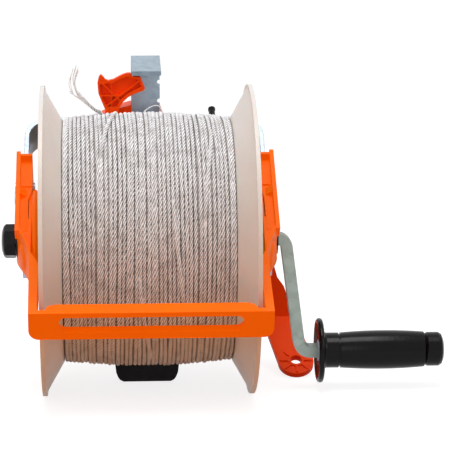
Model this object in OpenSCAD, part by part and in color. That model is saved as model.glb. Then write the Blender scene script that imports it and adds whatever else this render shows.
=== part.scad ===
// Hand-cranked reel for electric fence line: a flanged drum of twisted line turns on an axle in a
// steel bow with a moulded carrying frame, a hanging hook with a sprung latch, and a friction brake.
// Millimetres, +X along the axle towards the crank, +Y to the back, +Z up. The origin is the centre
// of the rubber foot's sole, on the surface that the reel stands on.

/* [Drum] */
// Diameter of the two flanges
flange_d = 260; // [230:1:290]
// Width over the flange rims
rim_w = 176; // [160:1:178]
// Thickness of each rim
rim_t = 3.5; // [2.5:0.1:5]
// Width between the flat webs of the flanges
drum_w = 140; // [124:1:146]
// Diameter where the flanges start to flare outwards
dish_d = 202; // [180:1:210]
// Wall of the drum mouldings
drum_wall = 3; // [2:0.1:5]
// Diameter of the barrel
barrel_d = 92; // [80:1:110]
// Diameter of the hub tubes
hub_d = 28; // [24:1:34]
// Diameter of the round plates on the hub ends
hub_plate_d = 48; // [40:1:56]
// Stiffening ribs on the outside of each flange
rib_n = 12; // [6:1:18]
// Thickness of the ribs
rib_t = 2.4; // [1.6:0.1:4]
// Circle of the tie bolts inside the barrel
tie_circle_d = 66; // [58:1:72]
// Diameter of the tie bolts
tie_d = 5; // [4:0.5:6]

/* [Line] */
// Diameter of the twisted line
line_d = 3.5; // [2.5:0.1:4]
// Diameter of the winding beside the flanges
wind_d = 206; // [180:1:208]
// Extra radius of the winding half way between the flanges
wind_crown = 4; // [0:0.1:4.5]
// Turns of the outer layer
wind_loops = 24; // [12:1:24]

/* [Axle, brake and crank] */
// Diameter of the axle
axle_d = 12; // [10:0.5:13]
// Outer diameter of the bushes
bush_d = 18; // [16:0.5:20]
// Diameter of the bush collars
bush_collar_d = 26; // [22:0.5:28]
// Diameter of the brake disc
brake_d = 86; // [60:1:88]
// Thickness of the brake disc
brake_t = 4; // [3:0.1:5]
// Thickness of the friction washer
washer_t = 1; // [0.6:0.1:1.4]
// Diameter of the brake knob over its corners
knob_d = 29; // [26:0.5:30]
// Length of the brake knob
knob_l = 12; // [10:0.5:16]
// Height of the knob's domed end
knob_dome = 3; // [1:0.5:5]
// Diameter of the axle's threaded end
thread_d = 8; // [6:0.5:9]
// Thickness of the crank bar
crank_t = 9.6; // [8:0.1:11]
// Depth of the crank bar
crank_w = 15; // [12:0.5:16]
// Distance from the axle to the grip
crank_throw = 97; // [80:1:98]
// Outward lean of the crank
crank_lean = 7.4; // [4:0.1:10]
// Radius of the crank bar's upper bend, on its middle line
crank_bend_r = 7; // [6:0.5:9]
// Radius of the crank bar's lower bend
crank_foot_r = 10; // [7:0.5:12]
// Diameter of the grip's pin
pin_d = 10; // [8:0.5:11]

/* [Grip] */
// Length of the grip with its guard and cap
grip_l = 108; // [90:1:125]
// Diameter of the guard
guard_d = 55; // [46:1:56]
// Thickness of the guard's rim
guard_t = 5; // [4:0.1:6]
// Diameter of the neck
neck_d = 30; // [26:0.5:32]
// Diameter of the barrel's belly
belly_d = 33; // [30:0.5:36]
// Length of the end cap
cap_l = 15; // [12:0.5:20]
// Diameter of the end cap
cap_d = 29; // [26:0.5:31]

/* [Bow] */
// Width of the bow's flat bar
bow_w = 30; // [26:1:32]
// Thickness of the bow's flat bar
bow_t = 4; // [3:0.1:5]
// Distance between the middles of the two legs
bow_span = 204; // [202:0.5:208]
// Lean of the bow back from upright
bow_lean = 54; // [50:1:58]
// Distance from the flanges' rims to the middle of the cross bar
bow_gap = 4; // [3.5:0.5:10]
// Length of the legs past the axle
bow_tail = 29; // [26:1:40]
// Bend radius of the bow's middle line
bow_bend_r = 21; // [14:1:24]

/* [Carrying frame] */
// Outer faces of the arms from the drum's middle
arm_out = 110; // [108.5:0.5:112]
// Width of the upper arms
arm_w = 13.5; // [12.5:0.5:13.5]
// Height of the upper arms from the axle, along the bow
arm_top = 82; // [78:1:90]
// Front edge of the arms' outer rail, from the bow's middle
arm_front = 27; // [24:0.5:30]
// Back edge of the arms, from the bow's middle
arm_back = 18; // [16.5:0.5:20]
// Thickness of the outer rail
rail_t = 3.5; // [2.5:0.1:4.5]
// Thickness of the other walls of the arms
arm_wall = 2.4; // [1.8:0.1:3]
// Depth of the recess between the rail and the web
arm_recess = 7; // [4:0.5:9]
// Distance from the axle to the front face of the bar
bar_reach = 150; // [144:1:165]
// Slope of the lower arms below level
bar_drop = 16.5; // [10:0.5:22]
// Height of the bar
bar_h = 23; // [18:0.5:28]
// Thickness of the bar's front plate
bar_t = 6; // [4:0.5:8]
// Distance from the drum's rims to the ends of the bar
bar_gap = 8; // [6:0.5:10]
// Thickness of the lower arms
lower_t = 6.5; // [5:0.1:7]
// Corner radius of the bar's lower edge
bar_corner_r = 8; // [4:0.5:10]
// Length of the line slot
slot_l = 145; // [100:1:150]
// Height of the line slot
slot_h = 10.5; // [7:0.5:11]
// Length of the ledge behind the bar
ledge_l = 166; // [120:1:168]
// Depth of the ledge
ledge_w = 9; // [4:0.5:9]
// Thickness of the ledge
ledge_t = 3; // [2:0.1:4]

/* [Hanger] */
// Width of the hanger strap
strap_w = 25.5; // [20:0.5:28]
// Thickness of the hanger strap
strap_t = 4; // [3:0.1:4.5]
// Strap's middle from the drum's middle
strap_x = 2; // [-2:0.5:4]
// Distance of the hanger strap's middle behind the middle of the cross bar
strap_set = 22.6; // [21.6:0.1:27]
// Height of the hook's top above the middle of the cross bar
hook_rise = 65.7; // [65.2:0.1:69]
// Reach of the hook forwards from the strap's middle
hook_reach = 49; // [46:0.5:54]
// Slope of the hook's top down to the front
hook_slope = 12; // [8:0.5:12]
// Bend radius of the hook's middle line
hook_bend_r = 4; // [3:0.5:6]
// Radius of the strap's curve under the drum
heel_r = 88; // [80:1:92]
// Length of the strap inside the foot
heel_run = 9; // [8:0.5:12]
// Radius of the two notches in the strap's edge
notch_r = 1.8; // [1.5:0.1:3]

/* [Foot and leg] */
// Width of the rubber foot
foot_w = 55.5; // [40:0.5:60]
// Length of the rubber foot
foot_l = 16; // [15:0.5:22]
// Height of the rubber foot
foot_h = 17; // [15:0.5:18]
// Thickness of the leg
leg_t = 5; // [4:0.1:6]
// Outer edge of the leg's upper plate
leg_out = 113; // [112:0.5:115]
// Back plane of the leg behind the axle
leg_y = 94; // [94:0.5:96]
// Level of the leg's crease below the axle
leg_crease = 87; // [84:0.5:90]
// Forward tilt of the leg's lower plate
leg_tilt = 56; // [52:0.5:58]
// Middle of the eye from the drum's middle
eye_x = 130.5; // [128:0.5:131]
// Diameter of the eye
eye_d = 10; // [8:0.5:12]
// Diameter of the rounded end round the eye
eye_boss_d = 31; // [24:0.5:31]
// Raised ribs round the eye
eye_rib_n = 8; // [4:1:10]

/* [Latch] */
// Distance of the latch lever's front face before the middle of the cross bar
latch_set = 23.9; // [22.4:0.1:24.4]
// Thickness of the latch lever
latch_t = 9; // [7:0.5:9]
// Depth of the lever's ribbed pocket
latch_pocket = 4.5; // [2:0.5:6]
// Thickness of the lever's rim and ribs
latch_rim = 2.2; // [1.6:0.1:3]
// Lever's pivot from the drum's middle
latch_x = -29.5; // [-31:0.5:-28]
// Height of the latch's pivot above the middle of the cross bar
latch_rise = 13.7; // [12.2:0.1:13.8]
// Height of the latch lever's top above its pivot, in the outline's own size
latch_h = 40; // [38:0.5:40]
// Diameter of the pivot pin
latch_pin_d = 5; // [4:0.5:6]

/* [Fits] */
// Radial clearance of running fits
run_gap = 0.06; // [0.03:0.01:0.1]
// Gap between pieces that are assembled together
gap = 0.3; // [0.2:0.05:0.4]
// Diameter of the rivets and frame bolts
rivet_d = 6; // [5:0.5:7]

/* [Hidden] */
$fn = 96;

orange = "#f06414";
natural = "#e6e1da";
zinc = "#a7b0ae";
black = "#1e1e1e";
line_white = "#d8d4d0";
brass = "#b89a50";

flange_r = flange_d / 2;
rim_x = rim_w / 2;
web_x = drum_w / 2;
dish_r = dish_d / 2;
barrel_r = barrel_d / 2;
axle_r = axle_d / 2;
over = 1;
bend_facets = 16;

// Stations along the axle, outwards from the drum's middle
arm_in = arm_out - arm_w;
washer_x = arm_in - gap;
brake_x = washer_x - washer_t;
hub_x = brake_x - brake_t;
hub_plate_t = drum_wall;
collar_t = 1.5;
collar_seat_x = arm_out - 2;
collar_x = collar_seat_x + collar_t;
knob_x = collar_x + 0.5;
crank_x = collar_x + 0.7;
spigot_r = 4;
spigot_l = 12;
screw_d = 4;
screw_circle_d = (hub_plate_d + hub_d) / 2;

// Crank line: out along the axle, down with its lean, out again to the grip
crank_turn = 90 - crank_lean;
crank_set = crank_bend_r * tan(crank_turn / 2);
crank_foot_set = crank_foot_r * tan(crank_turn / 2);
crank_top_x = crank_x + crank_set + 0.2;
crank_foot_x = crank_top_x + crank_throw * tan(crank_lean);
pin_x = crank_foot_x + crank_foot_set + 6.6;
grip_washer_t = 1;
grip_x = pin_x + grip_washer_t + gap;
guard_lip = 2.3;
grip_end_x = grip_x - guard_lip + grip_l;
cap_x = grip_end_x - cap_l;
clip_well_l = 9;
clip_well_r = 9.5;
clip_t = 1.5;
pin_end_x = cap_x - 2;

// The bow's own frame has +Z along its legs: these give places in the upright frame
function on_bow(y, z) = [y * cos(bow_lean) + z * sin(bow_lean), z * cos(bow_lean) - y * sin(bow_lean)];
bow_x = bow_span / 2;
bow_reach = flange_r + bow_gap;
bow_mid = on_bow(0, bow_reach);
strap_y = bow_mid[0] + strap_set;
hook_top = bow_mid[1] + hook_rise;
latch_y = bow_mid[0] - latch_set;
latch_z = bow_mid[1] + latch_rise;
bow_leg = bow_reach - bow_bend_r;
rivet_at = [50, 62];
leg_bolt_y = 4;
leg_bolt_z = arm_top - 2;
leg_tab_x = bow_x + bow_t / 2 + gap;
leg_tab_t = 5;
leg_tab_r = 10;
leg_tab_h = 18;
leg_bolt_at = on_bow(leg_bolt_y, leg_bolt_z);
peg_x = 60.3;
peg_set = -10;
peg_l = 18;
peg_d = 6.5;
peg_stem_d = 4;

// Lower arms and bar, in a frame whose -Y runs along the arms
arm_root_r = 17;
arm_root_top = 22;
arm_rib_drop = 38;
arm_gusset_drop = 50;
arm_notch_top = 42;
arm_notch_w = 3;
bar_w = rim_w + 2 * bar_gap;
jog_start = 2;
jog_end = 58;
jog_out = bar_w / 2 + 1.5;
jog_inner_start = 44;
jog_inner_end = 70;
jog_steps = 10;
crease_start = 14;
slot_rise = 2.2;
slot_ramp = 22;
rail_in = arm_out - rail_t;
arm_web_y = -arm_front + arm_recess;
lower_in = bar_w / 2 - lower_t;
// Smooth step from a to b as f goes from 0 to 1
function eased(a, b, f) = a + (b - a) * (1 - cos(180 * f)) / 2;

// Hanger: corners of its middle line in the Y and Z of the upright frame
hook_z = hook_top - strap_t / 2 / cos(hook_slope);
hook_front_y = strap_y - hook_reach;
hook_front_z = hook_z - hook_reach * tan(hook_slope);
heel_y = strap_y - heel_r;
sole_gap = 8;
heel_z = heel_r - flange_r + sole_gap + strap_t / 2;
foot_front = heel_y - heel_run - 2.5;
foot_y = foot_front + foot_l / 2;

// Saddle that holds the strap on the cross bar
saddle_x = [-37, 18.5];
saddle_y = latch_y + latch_t + gap;
saddle_back_y = strap_y - strap_t / 2;
saddle_low = bow_mid[1] - 23.8;
saddle_mid_low = bow_mid[1] + 5.2;
saddle_top = bow_mid[1] + 24.7;
saddle_slot_z = bow_mid[1] + 2.2;
bolt_z = [bow_mid[1] - 17.8, bow_mid[1] - 1.8];
bolt_l = 11;
bolt_d = 5;

// Latch lever, seen from the front: outline round the pivot
latch_unit = latch_h / 40;
latch_w = 6.4 * latch_unit;
pin_seat = 4;
pin_head = 2;
spring_wire = 1;
spring_curls = 2;
spring_well = 5.2;
spring_r = latch_pin_d / 2 + 1.6;

// Winding: the outer layer is one tube over a plain core, crowned between the flanges
wind_half = web_x - gap - line_d / 2;
function wind_r(x) = wind_d / 2 - line_d / 2 + wind_crown * (1 - pow(x / wind_half, 2));
wind_rings = 24;
function wind_at(k) =
    let (f = k / (wind_loops * wind_rings), x = wind_half * (1 - 2 * f), a = k * 360 / wind_rings)
    [x, wind_r(x) * sin(a), wind_r(x) * cos(a)];
wind_body = [for (k = [0 : wind_loops * wind_rings]) wind_at(k)];
function ahead(p, q, d) = p + d * (q - p) / norm(q - p);
wind_n = len(wind_body);
wind_path = concat(
    [ahead(wind_body[0], wind_body[1], -line_d)],
    wind_body,
    [ahead(wind_body[wind_n - 1], wind_body[wind_n - 2], -line_d)]
);
wind_gap = min([for (k = [0 : wind_rings : wind_n - wind_rings - 1])
    norm(wind_body[k + wind_rings] - wind_body[k])]) - line_d;
echo("least gap between turns of the winding", wind_gap);

// Free end of the line, from where it lifts off the winding
tail_x = -38;
tail_lift = 16;
tail_r = wind_r(tail_x) + line_d + gap;
tail_rise = [
    [-1.5, -15, 3.4], [-4, -26, 5.6], [-8, -32, 9.5], [-13, -35, 15.5], [-19.5, -37, 23]
];
tail_root = [tail_x, tail_r * sin(tail_lift), tail_r * cos(tail_lift)];
tail_route = concat([tail_root], [for (p = tail_rise) tail_root + p]);

spring_path = concat(
    [[spring_r, -spring_wire, 0]],
    [for (k = [0 : spring_curls * 8])
        [spring_r * cos(k * 45), spring_r * sin(k * 45), k * (spring_well - 2 * spring_wire) / (spring_curls * 8)]],
    [[spring_r, spring_wire, spring_well - 2 * spring_wire]]
);
spring_gap = (spring_well - 2 * spring_wire) / spring_curls - spring_wire;
echo("least gap between curls of the latch spring", spring_gap);

// Shared shapes

// Everything is modelled round the axle and stood on its foot and flanges here.
module place() {
    translate([0, -foot_y, flange_r])
        children();
}

// Turns a profile of radius and station round the axle line.
module spin_x() {
    rotate([0, 90, 0])
        rotate_extrude()
            children();
}

module rod_x(r, from, to) {
    translate([from, 0, 0])
        rotate([0, 90, 0])
            cylinder(r = r, h = to - from);
}

module rod_y(r, from, to) {
    translate([0, from, 0])
        rotate([-90, 0, 0])
            cylinder(r = r, h = to - from);
}

// Rectangle of a profile, by its radii and stations.
module band(r0, r1, x0, x1) {
    translate([r0, x0])
        square([r1 - r0, x1 - x0]);
}

// One edge of a bent bar, at distance d to the left of its middle line. Each step is a run, a turn
// in degrees and the bend's radius.
function bar_edge(steps, d, i = 0, p = [0, 0], a = 0) =
    i == len(steps) ? [] :
    let (
        left = [-sin(a), cos(a)],
        turn = steps[i][1],
        r = steps[i][2] * sign(turn),
        end = p + steps[i][0] * [cos(a), sin(a)],
        middle = end + r * left,
        bend = [for (k = [1 : bend_facets - 1]) let (b = a + turn * k / bend_facets)
            middle + (d - r) * [-sin(b), cos(b)]],
        next = middle - r * [-sin(a + turn), cos(a + turn)]
    )
    concat([p + d * left, end + d * left], turn == 0 ? [] : bend, bar_edge(steps, d, i + 1, next, a + turn));

// Flat bar bent in its XY plane.
module flat_bar(w, t, steps) {
    back = bar_edge(steps, -t / 2);
    translate([0, 0, -w / 2])
        linear_extrude(w)
            polygon(concat(bar_edge(steps, t / 2), [for (k = [len(back) - 1 : -1 : 0]) back[k]]));
}

// Round tube swept along points, with rings square to the path and closed ends.
module tube(path, d, sides) {
    n = len(path);
    function unit(v) = v / norm(v);
    heading = [for (k = [0 : n - 1]) unit(path[min(k + 1, n - 1)] - path[max(k - 1, 0)])];
    function side_of(h) = unit(cross(h, abs(h[0]) < 0.9 ? [1, 0, 0] : [0, 0, 1]));
    rings = [for (k = [0 : n - 1]) let (u = side_of(heading[k]), v = cross(heading[k], u))
        for (j = [0 : sides - 1]) path[k] + d / 2 * (cos(j * 360 / sides) * u + sin(j * 360 / sides) * v)];
    walls = [for (k = [0 : n - 2]) for (j = [0 : sides - 1])
        let (a = k * sides + j, b = k * sides + (j + 1) % sides)
        each [[b, a, a + sides], [b, a + sides, b + sides]]];
    caps = [for (j = [1 : sides - 2]) each [[0, j, j + 1],
        [(n - 1) * sides, (n - 1) * sides + j + 1, (n - 1) * sides + j]]];
    polyhedron(points = rings, faces = concat(walls, caps), convexity = 12);
}

module on_circle(d, n) {
    for (k = [0 : n - 1])
        rotate([k * 360 / n, 0, 0])
            translate([0, 0, d / 2])
                children();
}

module both_sides() {
    children();
    mirror([1, 0, 0])
        children();
}

// Drum

// Flange, barrel half, hub tube and hub plate of the half on +X.
module drum_profile() {
    band(barrel_r - drum_wall, barrel_r, 0, web_x + drum_wall);
    band(hub_d / 2 - drum_wall, dish_r, web_x, web_x + drum_wall);
    polygon([
        [dish_r - drum_wall, web_x], [dish_r, web_x], [flange_r - rim_t, rim_x - rim_t],
        [flange_r, rim_x - rim_t], [flange_r, rim_x], [flange_r - 1.5 * rim_t, rim_x],
        [dish_r - drum_wall, web_x + drum_wall]
    ]);
    band(axle_r + run_gap, hub_d / 2, web_x - 30, hub_x);
    band(axle_r + run_gap, hub_plate_d / 2, hub_x - hub_plate_t, hub_x);
}

module drum_half() {
    rib_end = dish_r + (flange_r - dish_r) / 2;
    rib_x = web_x + drum_wall - over;
    flare = (rim_x - rim_t - web_x) / (flange_r - rim_t - dish_r);
    rib_tip = rib_x + flare * (rib_end - dish_r) + over;
    difference() {
        union() {
            spin_x() drum_profile();
            for (k = [0 : rib_n - 1])
                rotate([k * 360 / rib_n, 0, 0])
                    translate([0, rib_t / 2, 0])
                        rotate([90, 0, 0])
                            linear_extrude(rib_t)
                                polygon([
                                    [rib_x, hub_d / 2 - over], [hub_x - hub_plate_t - 1, hub_d / 2 - over],
                                    [hub_x - hub_plate_t - 4, barrel_r], [rib_tip + 1.5, rib_end],
                                    [rib_tip, rib_end], [rib_x, dish_r - drum_wall]
                                ]);
        }
        rotate([180 / rib_n, 0, 0])
            on_circle(tie_circle_d, 3)
                rod_x(tie_d / 2 + run_gap, web_x - over, rim_x);
        on_circle(screw_circle_d, 3)
            rod_x(screw_d / 2 + run_gap, hub_x - hub_plate_t - over, hub_x + over);
    }
}

module right_drum_half() {
    color(natural)
        place() drum_half();
}

// The left half carries the spigot that centres the two halves.
module left_drum_half() {
    spigot_t = 2.5;
    spigot_r_out = barrel_r - drum_wall - 0.15;
    color(natural)
        place() {
            mirror([1, 0, 0]) drum_half();
            spin_x() band(spigot_r_out - spigot_t, spigot_r_out, -10, 9);
            spin_x() band(spigot_r_out - spigot_t, barrel_r - drum_wall + 0.5, -10, -7);
        }
}

module drum_tie_bolts() {
    head_r = tie_d * 0.9;
    head_x = web_x + drum_wall;
    color(zinc)
        place()
            rotate([180 / rib_n, 0, 0])
                on_circle(tie_circle_d, 3) {
                    rod_x(tie_d / 2, -head_x, head_x);
                    both_sides() rod_x(head_r, head_x, head_x + tie_d * 0.6);
                }
}

// Inner layers of the line as one solid, crowned like the outer layer.
module line_core() {
    steps = 12;
    function core_r(x) = wind_r(x) * cos(180 / wind_rings) - line_d / 2 - gap;
    color(line_white)
        place()
            spin_x()
                polygon(concat(
                    [[barrel_r + gap, -wind_half - line_d / 2], [barrel_r + gap, wind_half + line_d / 2]],
                    [[core_r(wind_half), wind_half + line_d / 2]],
                    [for (k = [0 : steps]) let (x = wind_half * (1 - 2 * k / steps))
                        [core_r(x), x]],
                    [[core_r(wind_half), -wind_half - line_d / 2]]
                ));
}

module line_winding() {
    color(line_white)
        place() tube(wind_path, line_d, 6);
}

module line_tail() {
    color(line_white)
        place() tube(tail_route, line_d, 8);
}

// Axle, brake and crank

module axle() {
    color(zinc)
        place()
            difference() {
                union() {
                    rod_x(axle_r, -collar_x, crank_x);
                    rod_x(thread_d / 2, -knob_x - knob_l + knob_dome + 1, -collar_x + over);
                }
                rod_x(spigot_r + run_gap, crank_x - spigot_l - 1, crank_x + over);
            }
}

module hub_screw_holes(from, to) {
    on_circle(screw_circle_d, 3) {
        rod_x(screw_d / 2 + run_gap, from - over, to + over);
        rod_x(screw_d + run_gap, to - 2, to + over);
    }
}

module drive_hub() {
    color(black)
        place()
            difference() {
                union() {
                    spin_x() band(axle_r + run_gap, hub_plate_d / 2, hub_x, hub_x + brake_t);
                    spin_x() band(axle_r + run_gap, hub_plate_d / 2 - 5, hub_x + over, washer_x);
                }
                hub_screw_holes(hub_x, hub_x + brake_t);
                hub_screw_holes(hub_x, washer_x);
            }
}

module brake_disc() {
    lip = 1.5;
    color(orange)
        place()
            mirror([1, 0, 0])
                difference() {
                    spin_x()
                        polygon([
                            [axle_r + run_gap, hub_x], [brake_d / 2 - lip, hub_x], [brake_d / 2, hub_x + lip],
                            [brake_d / 2, brake_x - lip], [brake_d / 2 - lip, brake_x], [axle_r + run_gap, brake_x]
                        ]);
                    hub_screw_holes(hub_x, brake_x);
                }
}

module hub_screws() {
    color(zinc)
        place()
            both_sides()
                on_circle(screw_circle_d, 3) {
                    rod_x(screw_d / 2, hub_x - hub_plate_t, brake_x - 1);
                    rod_x(screw_d - 0.2, brake_x - 2, brake_x - 0.4);
                }
}

module friction_washer() {
    color("#6b5a48")
        place()
            mirror([1, 0, 0])
                spin_x() band(axle_r + gap, hub_d / 2, brake_x, washer_x);
}

module crank_arm() {
    leg = crank_throw / cos(crank_lean) - crank_set - crank_foot_set;
    color(zinc)
        place() {
            translate([crank_x, 0, 0])
                rotate([90, 0, 0])
                    flat_bar(crank_w, crank_t, [
                        [crank_top_x - crank_x - crank_set, -crank_turn, crank_bend_r],
                        [leg, crank_turn, crank_foot_r],
                        [pin_x - crank_foot_x - crank_foot_set, 0, 0]
                    ]);
            rod_x(spigot_r, crank_x - spigot_l, crank_x + over);
            translate([0, 0, -crank_throw])
                rod_x(pin_d / 2, pin_x - over, pin_end_x);
        }
}

module on_grip() {
    place()
        translate([0, 0, -crank_throw])
            children();
}

module grip_washer() {
    color(zinc)
        on_grip()
            spin_x() band(pin_d / 2 + run_gap, pin_d / 2 + 4, pin_x, pin_x + grip_washer_t);
}

// Push-on clip that keeps the grip on its pin.
module grip_clip() {
    color(zinc)
        on_grip()
            spin_x() band(pin_d / 2 + 0.02, clip_well_r - 1.5, cap_x - clip_well_l + 0.5, cap_x - clip_well_l + 0.5 + clip_t);
}

// Guard dish, neck with a groove, and a barrel with a shallow belly.
module grip_sleeve() {
    neck_x = grip_x + 7;
    groove_x = neck_x + 9;
    groove_w = 1.6;
    groove_d = 1.2;
    belly_x = (groove_x + cap_x) / 2;
    belly_half = (cap_x - groove_x) / 2;
    belly_steps = 8;
    guard_r = guard_d / 2;
    guard_x = grip_x - guard_lip;
    bore_r = pin_d / 2 + run_gap;
    color(black)
        on_grip()
            difference() {
                spin_x()
                    polygon(concat(
                        [
                            [bore_r, grip_x], [guard_r - 9, grip_x], [guard_r - 1.8, guard_x], [guard_r - 0.5, guard_x + 0.7],
                            [guard_r, guard_x + 2], [guard_r, guard_x + guard_t - 2],
                            [guard_r - 0.5, guard_x + guard_t - 0.7], [guard_r - 1.8, guard_x + guard_t],
                            [neck_d / 2 + 2.5, guard_x + guard_t + 0.6], [neck_d / 2 + 0.7, guard_x + guard_t + 1.4],
                            [neck_d / 2, guard_x + guard_t + 3], [neck_d / 2, groove_x],
                            [neck_d / 2 - groove_d, groove_x + 0.3], [neck_d / 2 - groove_d, groove_x + groove_w]
                        ],
                        [for (k = [-belly_steps : belly_steps]) let (f = k / belly_steps)
                            [belly_d / 2 - (belly_d - neck_d) / 2 * f * f,
                                belly_x + f * (belly_half - groove_w)]],
                        [[cap_d / 2 - 1, cap_x - gap / 2], [bore_r, cap_x - gap / 2]]
                    ));
                rod_x(clip_well_r, cap_x - clip_well_l, cap_x + over);
            }
}

module grip_cap() {
    dome = 4;
    plug_l = 4;
    color(black)
        on_grip()
            difference() {
                spin_x()
                    polygon([
                        [0, cap_x - plug_l], [clip_well_r - 0.1, cap_x - plug_l], [clip_well_r - 0.1, cap_x + gap / 2],
                        [cap_d / 2 - 1, cap_x + gap / 2], [cap_d / 2, cap_x + 1.5], [cap_d / 2, grip_end_x - dome],
                        [cap_d / 2 - 1.5, grip_end_x - 1.5], [cap_d / 2 - 5, grip_end_x], [0, grip_end_x]
                    ]);
                rod_x(pin_d / 2 + 1, cap_x - plug_l - over, cap_x + 1);
            }
}

// Eight flats to turn by hand and a domed end.
module brake_knob() {
    insert_r = thread_d / 2 + 3;
    color(black)
        place()
            mirror([1, 0, 0])
                difference() {
                    intersection() {
                        translate([knob_x, 0, 0])
                            rotate([0, 90, 0])
                                cylinder(d = knob_d, h = knob_l, $fn = 8);
                        spin_x()
                            polygon([
                                [0, knob_x], [knob_d / 2 - 0.8, knob_x], [knob_d / 2, knob_x + 1],
                                [knob_d / 2, knob_x + knob_l - knob_dome - 1],
                                [knob_d / 2 - 2, knob_x + knob_l - knob_dome + 1],
                                [knob_d / 2 - 6, knob_x + knob_l - 0.6], [0, knob_x + knob_l]
                            ]);
                    }
                    rod_x(insert_r + 0.02, knob_x - over, knob_x + knob_l - knob_dome);
                }
}

module knob_insert() {
    insert_r = thread_d / 2 + 3;
    color(brass)
        place()
            mirror([1, 0, 0])
                spin_x() band(thread_d / 2 + run_gap, insert_r, knob_x, knob_x + knob_l - knob_dome);
}

// Bow and carrying frame

module in_bow() {
    place()
        rotate([-bow_lean, 0, 0])
            children();
}

module bow_bar() {
    translate([-bow_x, 0, -bow_tail])
        rotate([90, 0, 0])
            rotate(90)
                flat_bar(bow_w, bow_t, [
                    [bow_tail + bow_leg, -90, bow_bend_r],
                    [bow_span - 2 * bow_bend_r, -90, bow_bend_r],
                    [bow_tail + bow_leg, 0, 0]
                ]);
}

module steel_bow() {
    color(zinc)
        in_bow()
            difference() {
                bow_bar();
                rod_x(bush_d / 2 + run_gap, -bow_x - bow_t, bow_x + bow_t);
                for (z = rivet_at)
                    translate([0, 0, z])
                        rod_x(rivet_d / 2 + run_gap, -bow_x - bow_t, bow_x + bow_t);
                translate([0, leg_bolt_y, leg_bolt_z])
                    rod_x(rivet_d / 2 + run_gap, 0, bow_x + bow_t);
                translate([peg_x, peg_set, bow_reach - bow_t])
                    cylinder(d = peg_stem_d + 2 * run_gap, h = 2 * bow_t);
            }
}

// Upper arm on +X, in the bow's frame: rail, web, inner wall and cross ribs round the bow's leg.
module upper_arm() {
    low = -8;
    end_z = arm_top - 3.5;
    box_w = arm_w - rail_t + 1;
    translate([rail_in, 0, 0])
        rotate([90, 0, 90])
            linear_extrude(rail_t)
                polygon([
                    [-arm_front, low - 6], [-arm_front, arm_top - 2], [-arm_front + 1, arm_top - 0.4],
                    [-arm_front + 2.5, arm_top], [-arm_front + 4, arm_top - 0.8], [-arm_front + 5, end_z],
                    [arm_back, arm_top - 27], [arm_back, 0]
                ]);
    difference() {
        translate([arm_in, arm_web_y, low])
            cube([box_w, arm_back - arm_web_y, end_z - low]);
        translate([arm_in + arm_wall, arm_web_y + arm_wall, low + arm_wall])
            cube([arm_w, arm_back - arm_web_y, end_z - low - 2 * arm_wall]);
        translate([0, arm_web_y + arm_wall + 2, 0])
            rotate([90, 0, 0])
                linear_extrude(arm_recess)
                    polygon([
                        [arm_in - over, arm_notch_top], [arm_in, arm_notch_top],
                        [arm_in + arm_notch_w, arm_notch_top - 12], [arm_in + arm_notch_w, low - over],
                        [arm_in - over, low - over]
                    ]);
    }
    translate([arm_in, -arm_front + 1, end_z - arm_wall])
        cube([box_w, arm_recess, arm_wall]);
    translate([arm_in, arm_web_y - 1.2, arm_top - arm_rib_drop])
        cube([box_w, 1.2 + over, 1.2]);
    translate([0, arm_web_y, arm_top - arm_gusset_drop])
        linear_extrude(8)
            polygon([[rail_in - 7, 1], [rail_in + 1, 1], [rail_in + 1, -arm_recess + 1]]);
    rod_x(bush_d / 2 + 5, arm_in, rail_in + over);
}

// Lower arm on +X, from the axle forwards: its plan jogs in beside the flange, its side tapers, and the
// hollow of the upper arm runs out into it along a slanting crease.
module lower_arm() {
    tall = 2 * arm_front;
    root_in = arm_in + 0.5;
    root_out = arm_out - 0.4;
    difference() {
        intersection() {
            translate([0, 0, -tall])
                linear_extrude(2 * tall)
                    polygon(concat(
                        [[root_in, arm_root_r], [root_out, arm_root_r]],
                        [for (k = [0 : jog_steps]) let (f = k / jog_steps)
                            [eased(root_out, jog_out, f), -jog_start - f * (jog_end - jog_start)]],
                        [[bar_w / 2, -bar_reach], [lower_in, -bar_reach]],
                        [for (k = [0 : jog_steps]) let (f = k / jog_steps)
                            [eased(lower_in, root_in, f), -jog_inner_end - f * (jog_inner_start - jog_inner_end)]]
                    ));
            union() {
                rod_x(arm_root_r, arm_in, arm_out);
                rotate([90, 0, 90])
                    linear_extrude(2 * arm_out)
                        polygon([
                            [0, arm_root_top], [0, 1 - arm_root_r], [-jog_inner_end, -bar_h / 2],
                            [-bar_reach + 22, -bar_h / 2], [-bar_reach + bar_t - over, bar_corner_r - bar_h / 2],
                            [-bar_reach + over, bar_corner_r - bar_h / 2], [-bar_reach + over, bar_h / 2],
                            [-jog_inner_end, bar_h / 2], [-25, arm_root_top - 2]
                        ]);
            }
        }
        intersection() {
            translate([0, 0, -tall])
                linear_extrude(2 * tall)
                    polygon([
                        [arm_in - 1, tall], [rail_in, tall], [rail_in, -crease_start],
                        [arm_in + 0.8, 1.7 - jog_inner_start], [arm_in - 1, 1.7 - jog_inner_start]
                    ]);
            rotate([-bar_drop - bow_lean, 0, 0])
                translate([0, arm_web_y + 0.4 - 2 * tall, -2 * tall])
                    cube([2 * arm_out, 2 * tall, 4 * tall]);
        }
    }
}

// Front plate with rounded lower corners and the line slot, and the ledge behind its top edge.
module slot_outline(length) {
    square([length - slot_h, slot_h], center = true);
    for (x = [-1, 1])
        translate([x * (length - slot_h) / 2, 0])
            circle(d = slot_h);
}

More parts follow.
